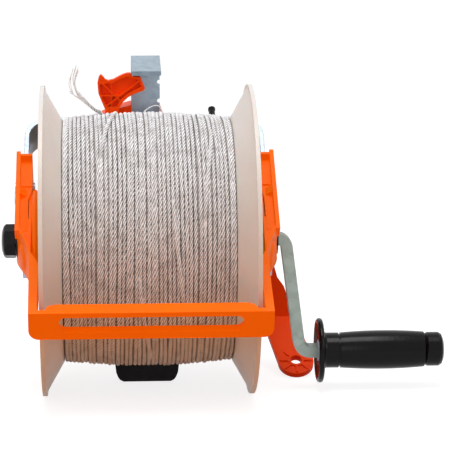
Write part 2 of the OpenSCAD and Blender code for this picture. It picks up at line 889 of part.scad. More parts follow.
// The slot's lower face falls to the front, so the line runs over a ramp
module front_bar() {
    rotate([90, 0, 0])
        translate([0, 0, bar_reach - bar_t])
            difference() {
                linear_extrude(bar_t)
                    difference() {
                        union() {
                            translate([-bar_w / 2, bar_corner_r - bar_h / 2])
                                square([bar_w, bar_h - bar_corner_r]);
                            translate([bar_corner_r - bar_w / 2, -bar_h / 2])
                                square([bar_w - 2 * bar_corner_r, bar_h]);
                            for (x = [-1, 1])
                                translate([x * (bar_w / 2 - bar_corner_r), bar_corner_r - bar_h / 2])
                                    circle(bar_corner_r);
                        }
                        translate([0, slot_rise])
                            slot_outline(slot_l);
                    }
                translate([0, slot_rise, 0])
                    rotate([slot_ramp, 0, 0])
                        translate([0, 0, -slot_h / 2])
                            linear_extrude(2 * slot_h)
                                slot_outline(slot_l - 3);
            }
    translate([0, 0, bar_h / 2 - ledge_t])
        linear_extrude(ledge_t)
            union() {
                translate([-ledge_l / 2, -bar_reach + bar_t - over])
                    square([ledge_l, over]);
                translate([-ledge_l / 2 + ledge_w, -bar_reach + bar_t - over])
                    square([ledge_l - 2 * ledge_w, ledge_w + over]);
                for (x = [-1, 1])
                    intersection() {
                        translate([x * (ledge_l / 2 - ledge_w), -bar_reach + bar_t])
                            circle(ledge_w);
                        translate([-ledge_l / 2, -bar_reach + bar_t - over])
                            square([ledge_l, ledge_w + over]);
                    }
            }
}

module frame_moulding() {
    slot_gap = 2 * gap;
    color(orange)
        place()
            difference() {
                union() {
                    both_sides() {
                        rotate([-bow_lean, 0, 0]) upper_arm();
                        rotate([bar_drop, 0, 0]) lower_arm();
                    }
                    rotate([bar_drop, 0, 0]) front_bar();
                }
                both_sides() {
                    rotate([-bow_lean, 0, 0]) {
                        translate([bow_x - bow_t / 2 - gap, -bow_w / 2 - gap, -bow_tail - over])
                            cube([bow_t + slot_gap, bow_w + slot_gap, bow_tail + bow_leg + over]);
                        for (z = rivet_at)
                            translate([0, 0, z])
                                rod_x(rivet_d / 2 + run_gap, 0, arm_out + over);
                    }
                    rod_x(bush_d / 2 + run_gap, 0, arm_out + over);
                    rod_x(knob_d / 2 + 1, collar_seat_x, arm_out + over);
                }
                translate([0, leg_bolt_at[0], leg_bolt_at[1]])
                    rod_x(leg_tab_r + gap, arm_in - over, arm_out + over);
                translate([leg_tab_x - gap, leg_bolt_at[0], leg_bolt_at[1] - leg_tab_h / 2 - gap])
                    cube([arm_w, leg_y, leg_tab_h + 2 * gap]);
            }
}

module bush() {
    spin_x() band(axle_r + run_gap, bush_d / 2, arm_in, collar_x);
    spin_x() band(axle_r + run_gap, bush_collar_d / 2, collar_seat_x, collar_x);
}

module right_bush() {
    color(black)
        place() bush();
}

module left_bush() {
    color(black)
        place()
            mirror([1, 0, 0]) bush();
}

module bow_rivets() {
    head_r = rivet_d * 0.9;
    head_t = 1.8;
    color(zinc)
        in_bow()
            both_sides()
                for (z = rivet_at)
                    translate([0, 0, z]) {
                        rod_x(rivet_d / 2, arm_in, arm_out + 0.5);
                        rod_x(head_r, arm_out, arm_out + head_t);
                        rod_x(head_r, arm_in - head_t, arm_in);
                    }
}

// Hanger, foot and leg

module hanger_strap() {
    back_turn = 90 + hook_slope;
    back_set = hook_bend_r * tan(back_turn / 2);
    notch_z = [bow_mid[1] + 24.2, bow_mid[1] + 41];
    color(zinc)
        place()
            translate([strap_x, 0, 0])
                difference() {
                    translate([0, hook_front_y, hook_front_z])
                        rotate([90, 0, 90])
                            rotate(hook_slope)
                                flat_bar(strap_w, strap_t, [
                                    [hook_reach / cos(hook_slope) - back_set, -back_turn, hook_bend_r],
                                    [hook_z - back_set - heel_z, -90, heel_r],
                                    [heel_run, 0, 0]
                                ]);
                    for (z = notch_z)
                        translate([strap_w / 2 - 0.6, 0, z])
                            rod_y(notch_r, strap_y - strap_t, strap_y + strap_t);
                    for (z = bolt_z)
                        translate([0, 0, z])
                            rod_y(bolt_d / 2 + run_gap, strap_y - strap_t, strap_y + strap_t);
                }
}

module strap_bolts() {
    color(zinc)
        place()
            translate([strap_x, 0, 0])
                for (z = bolt_z)
                    translate([0, 0, z]) {
                        rod_y(bolt_d / 2, saddle_back_y - bolt_l, strap_y + strap_t / 2 + over);
                        rod_y(bolt_d * 0.9, strap_y + strap_t / 2, strap_y + strap_t / 2 + 3.2);
                    }
}

// Hump-shaped block round the cross bar. The two halves meet on the bar's middle plane.
module saddle() {
    difference() {
        intersection() {
            translate([saddle_x[0], 0, 0])
                rotate([90, 0, 90])
                    linear_extrude(saddle_x[1] - saddle_x[0])
                        polygon([
                            [saddle_y, saddle_mid_low], [saddle_y, saddle_top], [saddle_back_y, saddle_top],
                            [saddle_back_y, saddle_low], [saddle_back_y - 16, saddle_low]
                        ]);
            translate([0, saddle_back_y + over, 0])
                rotate([90, 0, 0])
                    linear_extrude(saddle_back_y)
                        polygon([
                            [saddle_x[0], saddle_low - over], [saddle_x[0], saddle_top - 9], [-24, saddle_top - 3.5],
                            [strap_x - strap_w / 2, saddle_top], [strap_x + strap_w / 2, saddle_top - 3.5],
                            [saddle_x[1], saddle_top - 13], [saddle_x[1], saddle_low - over]
                        ]);
        }
        rotate([-bow_lean, 0, 0])
            translate([saddle_x[0] - over, -bow_w / 2 - gap / 2, bow_reach - bow_t / 2 - gap / 2])
                cube([saddle_x[1] - saddle_x[0] + 2 * over, bow_w + gap, bow_t + gap]);
        translate([strap_x - strap_w / 2 - gap, saddle_y - over, saddle_slot_z])
            cube([strap_w + 2 * gap, saddle_back_y - saddle_y + 2 * over, saddle_top]);
        translate([strap_x, 0, 0])
            for (z = bolt_z)
                translate([0, 0, z])
                    rod_y(bolt_d / 2 + run_gap, saddle_back_y - bolt_l - gap / 2, strap_y + strap_t);
        translate([latch_x, 0, latch_z])
            rod_y(latch_pin_d / 2 + run_gap, saddle_y - over, saddle_y + pin_seat + gap / 2);
    }
}

module saddle_side(from, to) {
    rotate([-bow_lean, 0, 0])
        translate([-flange_r, -flange_r, from])
            cube([flange_d, flange_d, to - from]);
}

module saddle_front() {
    color(orange)
        place()
            intersection() {
                saddle();
                saddle_side(0, bow_reach - gap / 4);
            }
}

module saddle_back() {
    color(orange)
        place()
            intersection() {
                saddle();
                saddle_side(bow_reach + gap / 4, bow_reach + flange_r);
            }
}

module rubber_foot() {
    side = foot_w / 2;
    strap_low = sole_gap;
    color("#16130f")
        place()
            translate([0, foot_front, -flange_r])
                difference() {
                    translate([0, foot_l, 0])
                        rotate([90, 0, 0])
                            linear_extrude(foot_l)
                                polygon([
                                    [-side, foot_h], [1 - side, 8], [2.6 - side, 4], [4.6 - side, 1.4], [7.4 - side, 0],
                                    [side - 7.4, 0], [side - 4.6, 1.4], [side - 2.6, 4], [side - 1, 8], [side, foot_h]
                                ]);
                    translate([strap_x - strap_w / 2 - gap, 2, strap_low - gap])
                        cube([strap_w + 2 * gap, foot_l, strap_t + 3 * gap]);
                }
}

// Moulded leg on the crank's side: a tab on the bow, a plate that flares out below the crank's
// sweep, and a forward plate with a ribbed eye that ends on the ground.
module outrigger_leg() {
    top = leg_bolt_at[1] + leg_tab_h / 2;
    low = leg_bolt_at[1] - leg_tab_h / 2;
    flare = [[leg_out + 0.6, 37], [leg_out + 4.7, 52], [leg_out + 10.5, 60], [leg_out + 20, leg_crease]];
    inner_foot = leg_tab_x - 1;
    eye_r = eye_boss_d / 2;
    eye_q = (flange_r - leg_crease - leg_t * sin(leg_tilt)) / cos(leg_tilt) - eye_r;
    rib_h = 1.2;
    color(orange)
        place()
            difference() {
                union() {
                    translate([0, leg_bolt_at[0], leg_bolt_at[1]])
                        rod_x(leg_tab_r, leg_tab_x, leg_tab_x + leg_tab_t);
                    translate([leg_tab_x, leg_bolt_at[0], low])
                        cube([leg_tab_t, leg_y + leg_t - leg_bolt_at[0], leg_tab_h]);
                    translate([0, leg_y + leg_t, 0])
                        rotate([90, 0, 0])
                            linear_extrude(leg_t)
                                polygon(concat(
                                    [
                                        [leg_tab_x, top], [leg_tab_x + leg_tab_t, top],
                                        [leg_tab_x + leg_tab_t, low + 5], [leg_out, low]
                                    ],
                                    [for (p = flare) [p[0], -p[1]]],
                                    [[inner_foot, -leg_crease], [leg_tab_x, 0]]
                                ));
                    translate([0, leg_y, -leg_crease])
                        rotate([-leg_tilt, 0, 0]) {
                            translate([0, leg_t, 0])
                                rotate([90, 0, 0])
                                    linear_extrude(leg_t) {
                                        polygon([
                                            [inner_foot, 2], [leg_out + 20, 2], [eye_x + eye_r * 0.94, -eye_q + eye_r * 0.34],
                                            [eye_x, -eye_q], [eye_x - eye_r * 0.93, -eye_q - eye_r * 0.36]
                                        ]);
                                        translate([eye_x, -eye_q])
                                            circle(eye_r);
                                    }
                            translate([eye_x, 0, -eye_q]) {
                                for (k = [0 : eye_rib_n - 1])
                                    rotate([0, k * 360 / eye_rib_n, 0])
                                        translate([eye_d / 2 + 1, -rib_h, -0.8])
                                            cube([eye_r - eye_d / 2 - 2.5, rib_h + over, 1.6]);
                                rod_y(eye_d / 2 + 2, -rib_h, over);
                            }
                        }
                }
                translate([0, leg_y, -leg_crease])
                    rotate([-leg_tilt, 0, 0])
                        translate([eye_x, 0, -eye_q])
                            rod_y(eye_d / 2, -leg_t, 2 * leg_t);
                translate([0, leg_bolt_at[0], leg_bolt_at[1]])
                    rod_x(rivet_d / 2 + run_gap, leg_tab_x - over, leg_tab_x + leg_tab_t + over);
            }
}

module leg_bolt() {
    head_x = leg_tab_x + leg_tab_t;
    color(zinc)
        in_bow()
            translate([0, leg_bolt_y, leg_bolt_z]) {
                rod_x(rivet_d / 2, bow_x - bow_t / 2 - 6, head_x + over);
                rod_x(rivet_d * 0.85, head_x, head_x + 2.4);
            }
}

module leg_nut() {
    color(zinc)
        in_bow()
            translate([bow_x - bow_t / 2 - 5, leg_bolt_y, leg_bolt_z])
                rotate([0, 90, 0])
                    difference() {
                        cylinder(d = rivet_d * 1.9, h = 5, $fn = 6);
                        translate([0, 0, -over])
                            cylinder(d = rivet_d + 2 * run_gap, h = 5 + 2 * over);
                    }
}

module line_peg() {
    color(black)
        in_bow()
            translate([peg_x, peg_set, bow_reach])
                rotate_extrude()
                    polygon([
                        [0, -bow_t / 2 - 2], [peg_stem_d / 2, -bow_t / 2 - 2], [peg_stem_d / 2, bow_t / 2],
                        [peg_d / 2, bow_t / 2], [peg_d / 2 - 0.6, peg_l - 4], [peg_d / 2, peg_l - 3],
                        [peg_d / 2, peg_l - 1], [peg_d / 2 - 1.2, peg_l], [0, peg_l]
                    ]);
}

// Latch

// Outline of the lever seen from the front, with the pivot at the origin.
module latch_outline() {
    polygon(latch_unit * [
        [-4.5, -4], [-4.6, 8], [-7.5, 15], [-10.3, 22], [-11, 31], [-9.8, 36.5], [-8, 38.4], [-6.4, 37], [-4, 34],
        [-1.5, 33.2], [3, 34.2], [7, 36.4], [11, 38.4], [15, 39.6], [17.8, 39.6], [18.6, 37], [26, 36.2], [28.6, 30.5],
        [30.2, 26.2], [28.8, 24.2], [22, 22], [15.5, 18.6], [11, 14.4], [8, 9.5], [5, -4]
    ]);
}

module latch_lever() {
    ribs = [[[-9, 33], [12, 12]], [[-6, 9], [27, 34]], [[1, 33], [1, 4]], [[-9, 20], [10, 20]]];
    color(orange)
        place()
            translate([latch_x, latch_y + latch_t, latch_z])
                rotate([90, 0, 0])
                    difference() {
                        union() {
                            linear_extrude(latch_t)
                                latch_outline();
                            cylinder(r = latch_w, h = latch_t);
                        }
                        translate([0, 0, latch_t - latch_pocket])
                            linear_extrude(latch_t)
                                difference() {
                                    polygon(latch_unit * [
                                        [-3, 10.5], [-6, 16], [-8.6, 22.4], [-9.2, 30], [-2.5, 30.6], [4, 31.8],
                                        [9, 34.8], [15, 36.6], [24.6, 33.6], [26.6, 29.6], [27, 27.6], [21, 24.6],
                                        [14, 21], [8.6, 16], [5.6, 10.5]
                                    ]);
                                    for (r = ribs)
                                        latch_rib(latch_unit * r[0], latch_unit * r[1]);
                                }
                        translate([0, 0, -over])
                            cylinder(d = latch_pin_d + 2 * run_gap, h = latch_t + 2 * over);
                        translate([0, 0, -over])
                            cylinder(r = spring_r + spring_wire, h = spring_well + over - 0.4);
                    }
}

module latch_rib(a, b) {
    d = b - a;
    translate(a)
        rotate(atan2(d[1], d[0]))
            translate([0, -latch_rim / 4])
                square([norm(d), latch_rim / 2]);
}

module latch_pin() {
    color(zinc)
        place()
            translate([latch_x, 0, latch_z]) {
                rod_y(latch_pin_d / 2, latch_y - gap - over, saddle_y + pin_seat);
                rod_y(latch_pin_d * 0.95, latch_y - gap - pin_head, latch_y - gap);
            }
}

// Torsion spring in the back of the lever, round the pin.
module latch_spring() {
    color(zinc)
        place()
            translate([latch_x, saddle_y - spring_wire / 2 - 0.15, latch_z])
                rotate([90, 0, 0])
                    tube(spring_path, spring_wire, 6);
}

left_drum_half();
right_drum_half();
drum_tie_bolts();
line_core();
line_winding();
line_tail();
axle();
drive_hub();
brake_disc();
hub_screws();
friction_washer();
crank_arm();
grip_washer();
grip_clip();
grip_sleeve();
grip_cap();
brake_knob();
knob_insert();
steel_bow();
frame_moulding();
left_bush();
right_bush();
bow_rivets();
hanger_strap();
strap_bolts();
saddle_front();
saddle_back();
rubber_foot();
outrigger_leg();
leg_bolt();
leg_nut();
line_peg();
latch_lever();
latch_pin();
latch_spring();
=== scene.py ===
"""Looks of the fence reel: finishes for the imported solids, and the line wound on as real twisted strands."""
import math

import bpy
import numpy as np
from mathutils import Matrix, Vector


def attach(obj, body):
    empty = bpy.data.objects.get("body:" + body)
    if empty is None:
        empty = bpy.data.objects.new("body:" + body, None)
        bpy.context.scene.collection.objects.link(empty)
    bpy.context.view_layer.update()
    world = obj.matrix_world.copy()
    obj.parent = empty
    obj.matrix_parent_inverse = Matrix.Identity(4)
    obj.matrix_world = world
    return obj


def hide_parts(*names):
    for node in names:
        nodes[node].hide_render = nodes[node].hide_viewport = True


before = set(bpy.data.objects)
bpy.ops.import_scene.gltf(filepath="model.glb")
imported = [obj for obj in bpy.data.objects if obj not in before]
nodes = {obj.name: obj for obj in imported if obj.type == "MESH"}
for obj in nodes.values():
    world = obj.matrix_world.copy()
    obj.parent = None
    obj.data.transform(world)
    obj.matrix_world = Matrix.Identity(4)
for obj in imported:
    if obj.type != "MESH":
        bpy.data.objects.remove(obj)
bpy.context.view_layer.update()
rng = np.random.default_rng(7)
MM = 0.001

# Sizes repeated from the part's source, in millimetres round the axle
AXLE = np.array([0.0, -39.5, 130.0])
LINE_D = 3.5
GAP = 0.3
WEB_X = 70.0
WIND_R = 103.0
WIND_CROWN = 4.0
WIND_HALF = WEB_X - GAP - LINE_D / 2

# The line: strands, length of a whole twist, points round it, and turns in the outer layer
TWIST = {"lobes": 4, "pitch": 18}
LINE_SIDES = 16
TURNS = 41


def row(points):
    """Points in millimetres round the axle, as metres in the row frame."""
    return (np.asarray(points, float) + AXLE) * MM


def wind_r(x):
    """Radius of the outer layer's middle line: a parabola across the drum, highest half way."""
    return WIND_R - LINE_D / 2 + WIND_CROWN * (1 - (x / WIND_HALF) ** 2)


# Camera: ten degrees above the axle, a little to the left, turned towards the reel's middle
PIXEL = 0.841 * MM
PICTURE_PX = 450
REACH_PX = 2200
AIM_PX = (125, 14)
REACH = REACH_PX * PIXEL
tilt = math.radians(10)
right = Vector((1, 0, 0))
up = Vector((0, math.sin(tilt), math.cos(tilt)))
ahead = Vector((0, math.cos(tilt), -math.sin(tilt)))
camera = bpy.data.objects.new("camera", bpy.data.cameras.new("camera"))
bpy.context.scene.collection.objects.link(camera)
camera.location = Vector(row((-39.5, 0, 0))) - REACH * ahead
aim = ahead + right * (AIM_PX[0] / REACH_PX) + up * (AIM_PX[1] / REACH_PX)
camera.rotation_euler = aim.to_track_quat("-Z", "Y").to_euler()
camera.data.sensor_width = 36
camera.data.lens = camera.data.sensor_width * REACH_PX / PICTURE_PX
camera.data.clip_end = 50
bpy.context.scene.camera = camera


def smooth_path(points, n):
    """Catmull-Rom curve through the points, resampled to n points at even spacing along its length."""
    p = np.asarray(points, float)
    p = np.vstack([2 * p[0] - p[1], p, 2 * p[-1] - p[-2]])
    t = np.linspace(0, 1, 24, endpoint=False)[:, None]
    runs = []
    for a, b, c, d in zip(p, p[1:], p[2:], p[3:]):
        bend = (2 * a - 5 * b + 4 * c - d) * t ** 2 + (3 * b - a - 3 * c + d) * t ** 3
        runs.append(0.5 * (2 * b + (c - a) * t + bend))
    fine = np.vstack(runs + [p[-2:-1]])
    s = np.concatenate([[0], np.cumsum(np.linalg.norm(np.diff(fine, axis=0), axis=1))])
    even = np.linspace(0, s[-1], n)
    return np.stack([np.interp(even, s, fine[:, k]) for k in range(3)], axis=1)


def mesh_object(name, verts, faces, uv=None, crest=1.0):
    """A mesh object at the origin from whole arrays: points in metres, quads as index rows, one UV for each corner.

    The point attribute crest is 1 where a line stands out of the pack and 0 where it is buried.
    """
    mesh = bpy.data.meshes.new(name)
    mesh.from_pydata(verts.tolist(), [], faces.tolist())
    if uv is not None:
        layer = mesh.uv_layers.new(name="along")
        layer.data.foreach_set("uv", np.asarray(uv, np.float32).ravel())
    proud = mesh.attributes.new("crest", "FLOAT", "POINT")
    proud.data.foreach_set("value", np.broadcast_to(np.asarray(crest, np.float32), (len(verts),)))
    mesh.shade_smooth()
    mesh.update()
    obj = bpy.data.objects.new(name, mesh)
    bpy.context.scene.collection.objects.link(obj)
    return obj


def grid_corners(rows, columns):
    """The four corners of each cell in a grid, in order round it, as pairs of row and column indices."""
    k, j = np.meshgrid(np.arange(rows), np.arange(columns), indexing="ij")
    return [(k, j), (k, j + 1), (k + 1, j + 1), (k + 1, j)]


def tube_arrays(path, radius, sides, lobes=0, pitch=1.0, depth=0.0, phase=0.0):
    """Profile carried along a path, as points, quads and corner UVs, in millimetres.

    Ring k sits square to the path and is turned by a whole turn for each pitch of length, so its points follow the
    strands. Its radius at angle a from that turn is radius * (1 - depth + depth * cos(lobes * a)). U counts strands
    round the line and V is the length along it.
    """
    path = np.asarray(path, float)
    n = len(path)
    heading = np.gradient(path, axis=0)
    heading /= np.linalg.norm(heading, axis=1)[:, None]
    side = np.cross(heading, np.where(np.abs(heading[:, :1]) < 0.9, [[1.0, 0, 0]], [[0, 0, 1.0]]))
    side /= np.linalg.norm(side, axis=1)[:, None]
    other = np.cross(heading, side)
    s = np.concatenate([[0], np.cumsum(np.linalg.norm(np.diff(path, axis=0), axis=1))])
    a = np.arange(sides + 1) * 2 * math.pi / sides
    turn = 2 * math.pi * s / pitch + phase
    r = np.broadcast_to(np.asarray(radius, float), (n,))[:, None]
    r = r * (1 - depth + depth * np.cos(lobes * a))
    lie = (a + turn[:, None])[..., None]
    ring = path[:, None] + r[..., None] * (np.cos(lie) * side[:, None] + np.sin(lie) * other[:, None])
    uv = np.stack(np.broadcast_arrays(a * max(lobes, 1) / (2 * math.pi), s[:, None]), axis=-1)
    corners = grid_corners(n - 1, sides)
    faces = np.stack([p * sides + q % sides for p, q in corners], axis=-1).reshape(-1, 4)
    corner_uv = np.stack([uv[p, q] for p, q in corners], axis=-2).reshape(-1, 2)
    return ring[:, :-1].reshape(-1, 3), faces, corner_uv


def joined(parts):
    """Several tubes as one set of arrays, with each tube's indices moved past the ones before it."""
    counts = np.cumsum([0] + [len(p[0]) for p in parts])
    return (np.vstack([p[0] for p in parts]), np.vstack([p[1] + c for p, c in zip(parts, counts)]),
            np.vstack([p[2] for p in parts]))


# The line's free end comes first: the route of the part's source, through a smooth curve
tail_x = -38.0
tail_r = wind_r(tail_x) + LINE_D + GAP
lift = math.radians(16)
tail_root = np.array([tail_x, tail_r * math.sin(lift), tail_r * math.cos(lift)])
tail_rise = np.array([[0, 0, 0], [-1.5, -15, 3.4], [-4, -26, 5.6], [-8, -32, 9.5], [-13, -35, 15.5],
                      [-19.5, -37, 23]])
TAIL_POINTS = 160
tail_path = smooth_path(tail_root + tail_rise, TAIL_POINTS)
taper = np.interp(np.linspace(0, 1, TAIL_POINTS), [0, 0.4, 0.75, 1], [1.0, 0.97, 0.65, 0.4])
verts, faces, uv = tube_arrays(tail_path, LINE_D / 2 * taper, LINE_SIDES, depth=0.12, **TWIST)
tail = mesh_object("line_end", row(verts), faces, uv)


def filament(points, thick=0.55):
    """One loose filament: a thin round tube through the points, half as thick at its tip, with no groove."""
    verts, faces, uv = tube_arrays(smooth_path(points, 30), np.linspace(thick, thick / 2, 30), 6)
    return verts, faces, uv * [0, 1]


def frayed_ends(first, count, spread, tip):
    """Filaments that leave the tail at the first point, part from it by a seeded vector and run on to the tip.

    The parting grows with the square of the way along, so that a filament starts inside the tail.
    """
    parts = []
    for _ in range(count):
        away = spread * rng.normal(size=3) * [1.0, 0.4, 0.7]
        reach = np.array(tip) * rng.uniform(0.7, 1.0)
        t = np.linspace(0, 1, 6)[:, None]
        along = tail_path[np.linspace(first, TAIL_POINTS - 1, 6).astype(int)]
        bow = along[-1] + 1.2 * away + 0.5 * reach - [2.4, 0, 0]
        parts.append(filament(np.vstack([along + away * t ** 2, bow, along[-1] + 1.4 * away + reach])))
    return parts


def side_ends(first, count, lean):
    """Filaments that leave the tail sideways: an arc from the first point that leans by the given vector."""
    parts = []
    for _ in range(count):
        away = rng.normal(size=3) * [1.2, 0.4, 1.2]
        t = np.linspace(0, 1, 5)[:, None]
        parts.append(filament(tail_path[first] + (np.array(lean) + away * t) * t))
    return parts


# A filament also stands up from the winding beside the hook
stray = filament([(-3, 19, 104), (0, 19, 107.5), (5, 18.5, 110.5), (10, 18, 111.2), (13, 18, 108),
                  (14, 18, 104)], thick=0.5)
fray = joined(frayed_ends(first=48, count=9, spread=2.0, tip=(1.0, -1, 23))
              + side_ends(first=86, count=3, lean=(-20, -4, 15)) + [stray])
tail_fray = mesh_object("frayed_strands", row(fray[0]), fray[1], fray[2])
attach(tail, "drum")
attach(tail_fray, "drum")
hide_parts("line_tail")


# Winding: one helix of twisted line from flange to flange, over a smooth bed of inner layers
def wobble(n_waves, size, turn_angle, lengths=(0.07, 0.93)):
    """Slow seeded waves along the helix: a sum of sines with that many waves in a turn.

    Waves that don't fit the turn lay the turns unevenly, and waves that nearly fit it bend neighbours together.
    """
    waves = rng.uniform(*lengths, n_waves)
    starts = rng.uniform(0, 2 * math.pi, n_waves)
    return size * np.sin(turn_angle[:, None] * waves + starts).sum(axis=1) / math.sqrt(n_waves)


PER_TURN = 360
SLACK = 1.1
GROOVE = 0.15
angle = np.arange(TURNS * PER_TURN + 1) * 2 * math.pi / PER_TURN
spread = 1.03 * WIND_HALF * (1 - 2 * angle / angle[-1])
drift = wobble(5, 0.8, angle, (0.94, 1.06)) + wobble(5, 0.6, angle, (1.95, 2.05)) + wobble(7, 0.32, angle)
drift += wobble(5, 0.2, angle * 2.7) + wobble(5, 0.1, angle * 31)
lay_x = np.clip(spread + drift, -WIND_HALF, WIND_HALF)
lay_r = wind_r(lay_x) - 0.55 + SLACK * np.cos(angle) + wobble(7, 0.4, angle * 1.3) + wobble(5, 0.16, angle * 23)
kink = wobble(7, 0.9, angle * 17) + wobble(5, 1.4, angle * 5)
helix = np.stack([lay_x, lay_r * np.sin(angle), lay_r * np.cos(angle)], axis=1)
winding = []
for part, (first, last) in enumerate([(0, 14), (14, 28), (28, TURNS)]):
    cut = slice(first * PER_TURN, last * PER_TURN + 1)
    thick = LINE_D / 2 * (1.03 + wobble(6, 0.05, angle[cut] * 19))
    phase = first * 1.7 + kink[cut]
    verts, faces, uv = tube_arrays(helix[cut], thick, LINE_SIDES, depth=GROOVE, phase=phase, **TWIST)
    # crest: how far each point stands out of the turn's middle line; the line's material paints shade where it is
    # low
    proud = (np.hypot(verts[:, 1], verts[:, 2]) - np.repeat(lay_r[cut], LINE_SIDES)) / (0.9 * LINE_D)
    winding.append(mesh_object("wound_line_%d" % (part + 1), row(verts), faces, uv, 0.5 + proud))


def crossing_turn(x0, x1, a0, a1):
    """A turn that climbs over its neighbours from x0 to x1, between two angles in degrees from the top.

    It makes an eased step along the drum. Its height over the pack is the square root of a half sine, so that both
    ends dip under the turns beside them.
    """
    t = np.linspace(0, 1, 120)
    a = np.radians(a0 + (a1 - a0) * t)
    x = x0 + (x1 - x0) * t * t * (3 - 2 * t)
    r = wind_r(x) - 1.6 + SLACK * np.cos(a) + 3.4 * np.sqrt(np.sin(math.pi * t))
    path = np.stack([x, r * np.sin(a), r * np.cos(a)], axis=1)
    return tube_arrays(path, LINE_D / 2, LINE_SIDES, depth=GROOVE, **TWIST)


CROSSINGS = [(-25, -39, 12, -48), (19, 27, -62, -118), (52, 44, -20, -75), (-8, 1, -96, -150), (30, 18, 150, 95),
             (-48, -40, 80, 20)]
crossed = joined([crossing_turn(*ends) for ends in CROSSINGS])
winding.append(mesh_object("crossing_turns", row(crossed[0]), crossed[1], crossed[2], 0.9))


BED_SIDES = 144
BED_PITCH = 3.3
# The inner layers get a low crest, so the line's material paints them with the shade between the turns
BED_CREST = 0.55
BARREL_R = 48


def line_bed():
    """Inner layers: a surface of revolution just under the outer turns, rippled along the axle once for each turn.

    At both ends it closes down to the barrel, and like the turns it sits higher above the axle by the slack.
    """
    x = np.linspace(-WEB_X + 0.1, WEB_X - 0.1, 8 * TURNS + 1)
    r = wind_r(x) - 1.3 + 0.4 * np.cos(2 * math.pi * (x + 1.2) / BED_PITCH)
    r[0] = r[-1] = BARREL_R
    a = np.linspace(0, 2 * math.pi, BED_SIDES + 1)
    out = r[:, None] + np.where(r > BARREL_R, SLACK, 0)[:, None] * np.cos(a[:-1])
    verts = np.stack([np.broadcast_to(x[:, None], out.shape), out * np.sin(a[:-1]), out * np.cos(a[:-1])], axis=-1)
    corners = grid_corners(len(x) - 1, BED_SIDES)
    faces = np.stack([p * BED_SIDES + q % BED_SIDES for p, q in corners], axis=-1).reshape(-1, 4)
    uv = np.stack([np.stack([x[p] / BED_PITCH, a[q] * 100], axis=-1) for p, q in corners], axis=-2)
    uv = uv.reshape(-1, 4, 2)
    return mesh_object("inner_line", row(verts.reshape(-1, 3)), faces[:, ::-1], uv[:, ::-1], BED_CREST)


bed = line_bed()
for obj in winding + [bed]:
    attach(obj, "drum")
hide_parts("line_winding")
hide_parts("line_core")


# The corners of the bow's ends stand a little out of the arms' outer faces, and a moulded blister covers each
ROOT_X = 109.6
JOG_X = 97.5
JOG_START = 2
JOG_RUN = 56
BAR_DROP = math.radians(16.5)
COVER_MIDDLE = (-29, -1)
COVER_HALF = (10, 12.5)
COVER_RISE = 2.1
COVER_DIP = 0.3
COVER_CELLS = 24


def bow_end_cover(side):
    """Oval blister on one lower arm, as points and quads: a square grid drawn into a disc.

    The arm's face falls from the root to the jog by half a cosine wave. The blister stands over it by its rise
    times one less the fourth power of the way out to its rim, and the rim dips under the face. The whole is then
    turned down by the slope of the arms.
    """
    u, v = np.meshgrid(*[np.linspace(-1, 1, COVER_CELLS + 1)] * 2)
    oval = np.stack([u * np.sqrt(1 - v ** 2 / 2), v * np.sqrt(1 - u ** 2 / 2)])
    out = (oval ** 2).sum(axis=0)
    y = COVER_MIDDLE[0] + COVER_HALF[0] * oval[0]
    z = COVER_MIDDLE[1] + COVER_HALF[1] * oval[1]
    way = np.clip((-y - JOG_START) / JOG_RUN, 0, 1)
    face_x = ROOT_X + (JOG_X - ROOT_X) * (1 - np.cos(math.pi * way)) / 2
    x = face_x + COVER_RISE * (1 - out ** 2) - COVER_DIP * out ** 4
    verts = np.stack([side * x, y * math.cos(BAR_DROP) - z * math.sin(BAR_DROP),
                      y * math.sin(BAR_DROP) + z * math.cos(BAR_DROP)], axis=-1).reshape(-1, 3)
    corners = grid_corners(COVER_CELLS, COVER_CELLS)
    faces = np.stack([p * (COVER_CELLS + 1) + q for p, q in corners], axis=-1).reshape(-1, 4)
    return verts, faces[:, ::side]


covers = []
for name, side in {"left_bow_end_cover": -1, "right_bow_end_cover": 1}.items():
    verts, faces = bow_end_cover(side)
    cover = mesh_object(name, row(verts), faces)
    wall = cover.modifiers.new("wall", "SOLIDIFY")
    wall.thickness = 0.8 * MM
    wall.offset = -1
    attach(cover, "frame")
    covers.append(cover)


# Finishes
def linear(code):
    """sRGB hex colour as linear RGBA."""
    c = np.array([int(code[k:k + 2], 16) for k in (1, 3, 5)]) / 255
    return (*np.where(c <= 0.04045, c / 12.92, ((c + 0.055) / 1.055) ** 2.4).tolist(), 1.0)


def add(tree, kind, inputs=None, **settings):
    """Adds one node. Settings go to the node, inputs are constants or sockets to link from."""
    made = tree.nodes.new("ShaderNode" + kind)
    for key, value in settings.items():
        setattr(made, key, value)
    for key, value in (inputs or {}).items():
        if isinstance(value, bpy.types.NodeSocket):
            tree.links.new(value, made.inputs[key])
        else:
            made.inputs[key].default_value = value
    return made


def finish(name, **constants):
    """A new material: its tree, its shader with those constants, and the Object coordinates."""
    made = bpy.data.materials.new(name)
    made.use_nodes = True
    tree = made.node_tree
    tree.nodes.clear()
    shader = add(tree, "BsdfPrincipled", constants)
    add(tree, "OutputMaterial", {"Surface": shader.outputs[0]})
    place = add(tree, "TexCoord")
    return made, tree, shader, place.outputs["Object"], place.outputs["UV"]


def ramp(tree, factor, stops):
    """Colour ramp from (position, hex) stops."""
    made = add(tree, "ValToRGB", {"Fac": factor})
    while len(made.color_ramp.elements) < len(stops):
        made.color_ramp.elements.new(0.5)
    for element, (at, code) in zip(made.color_ramp.elements, stops):
        element.position = at
        element.color = linear(code)
    return made.outputs["Color"]


def per_mm(size):
    """Texture scale for features of that many millimetres on Object coordinates in metres."""
    return 1 / (size * MM)


